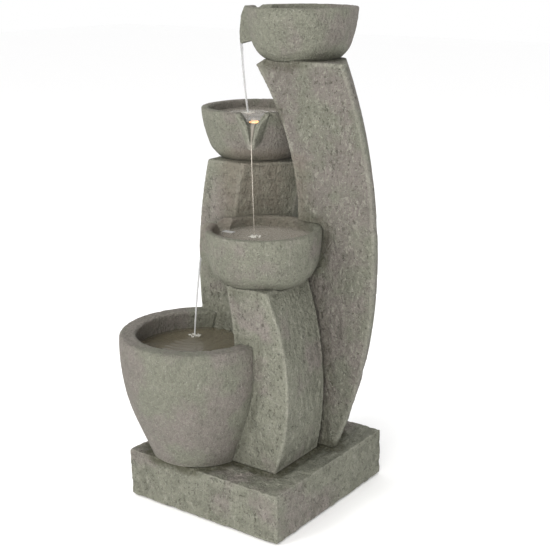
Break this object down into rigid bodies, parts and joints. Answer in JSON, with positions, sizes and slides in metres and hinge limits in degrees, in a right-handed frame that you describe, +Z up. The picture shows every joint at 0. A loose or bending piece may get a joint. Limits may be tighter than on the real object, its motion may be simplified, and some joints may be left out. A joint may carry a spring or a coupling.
{
  "type": "tiered water fountain",
  "caption": "Garden fountain: curved cast stone columns on a square plinth carry spouted bowls that pour one into the next and into a deep basin with a pump.",
  "frame": {"origin": "bottom centre of the whole fountain's bounding box, on the ground plane under its rubber feet", "axes": "+Z up; +X to the right along the plinth's front; -Y towards the front, where the front column and basin stand"},
  "size_m": [0.48, 0.4911, 0.99],
  "materials": {
    "cast_stone": "rough warm grey cast stone with sandy grain",
    "black_plastic": "moulded, fine texture",
    "grey_plastic": "moulded, smooth",
    "door_plastic": "moulded, stone grey",
    "black_rubber": "matt",
    "clear_hose": "soft clear vinyl",
    "lead_jacket": "matt flexible jacket",
    "lamp_lens": "clear dome over a warm lamp",
    "brass": "turned",
    "stainless": "rolled band",
    "shaft_ceramic": "ground"
  },
  "bodies": {
    "fountain": {"base_plinth": "cast_stone", "basin": "cast_stone", "basin_lamp_gasket": "black_rubber", "basin_lamp_housing": "black_plastic", "basin_lamp_lead": "lead_jacket", "basin_lamp_lens": "lamp_lens", "cord_grommet": "black_rubber", "door_inserts": "brass", "front_column": "cast_stone", "hose_bush": "black_rubber", "hose_clamps": "stainless", "impeller_shaft": "shaft_ceramic", "lamp_gland": "black_rubber", "lead_bush": "black_rubber", "lead_splitter": "black_plastic", "left_column": "cast_stone", "outlet_washer": "black_rubber", "pump_body": "black_plastic", "pump_lead": "lead_jacket", "rear_column": "cast_stone", "riser_hose": "clear_hose", "rubber_feet": "black_rubber", "second_bowl": "cast_stone", "second_lamp_gasket": "black_rubber", "second_lamp_housing": "black_plastic", "second_lamp_lead": "lead_jacket", "second_lamp_lens": "lamp_lens", "shaft_bushes": "black_rubber", "suction_feet": "black_rubber", "third_bowl": "cast_stone", "top_bowl": "cast_stone", "top_outlet": "black_plastic", "volute_plate": "grey_plastic"},
    "service_door": {"access_door": "door_plastic", "door_gasket": "black_rubber"},
    "screw_left": {"door_screw_left": "door_plastic"},
    "screw_right": {"door_screw_right": "door_plastic"},
    "strainer": {"pump_cover": "black_plastic", "regulator_pin": "grey_plastic"},
    "regulator": {"flow_regulator": "grey_plastic"},
    "rotor": {"impeller": "grey_plastic"}
  },
  "joints": [
    {"name": "door_slide", "type": "slide", "parent": "fountain", "child": "service_door", "axis": [0, 1, 0], "range_m": [0, 0.06]},
    {"name": "left_screw_turn", "type": "hinge", "parent": "service_door", "child": "screw_left", "pos_m": [-0.0774, 0.1997, 0.055], "axis": [0, 1, 0], "continuous": true},
    {"name": "right_screw_turn", "type": "hinge", "parent": "service_door", "child": "screw_right", "pos_m": [0.0546, 0.1997, 0.055], "axis": [0, 1, 0], "continuous": true},
    {"name": "strainer_slide", "type": "slide", "parent": "fountain", "child": "strainer", "axis": [-1, 0, 0], "range_m": [0, 0.03]},
    {"name": "regulator_turn", "type": "hinge", "parent": "strainer", "child": "regulator", "pos_m": [-0.121, -0.0891, 0.148], "axis": [1, 0, 0], "range_deg": [-135, 135]},
    {"name": "rotor_spin", "type": "hinge", "parent": "fountain", "child": "rotor", "pos_m": [-0.0906, -0.0891, 0.148], "axis": [1, 0, 0], "continuous": true}
  ]
}
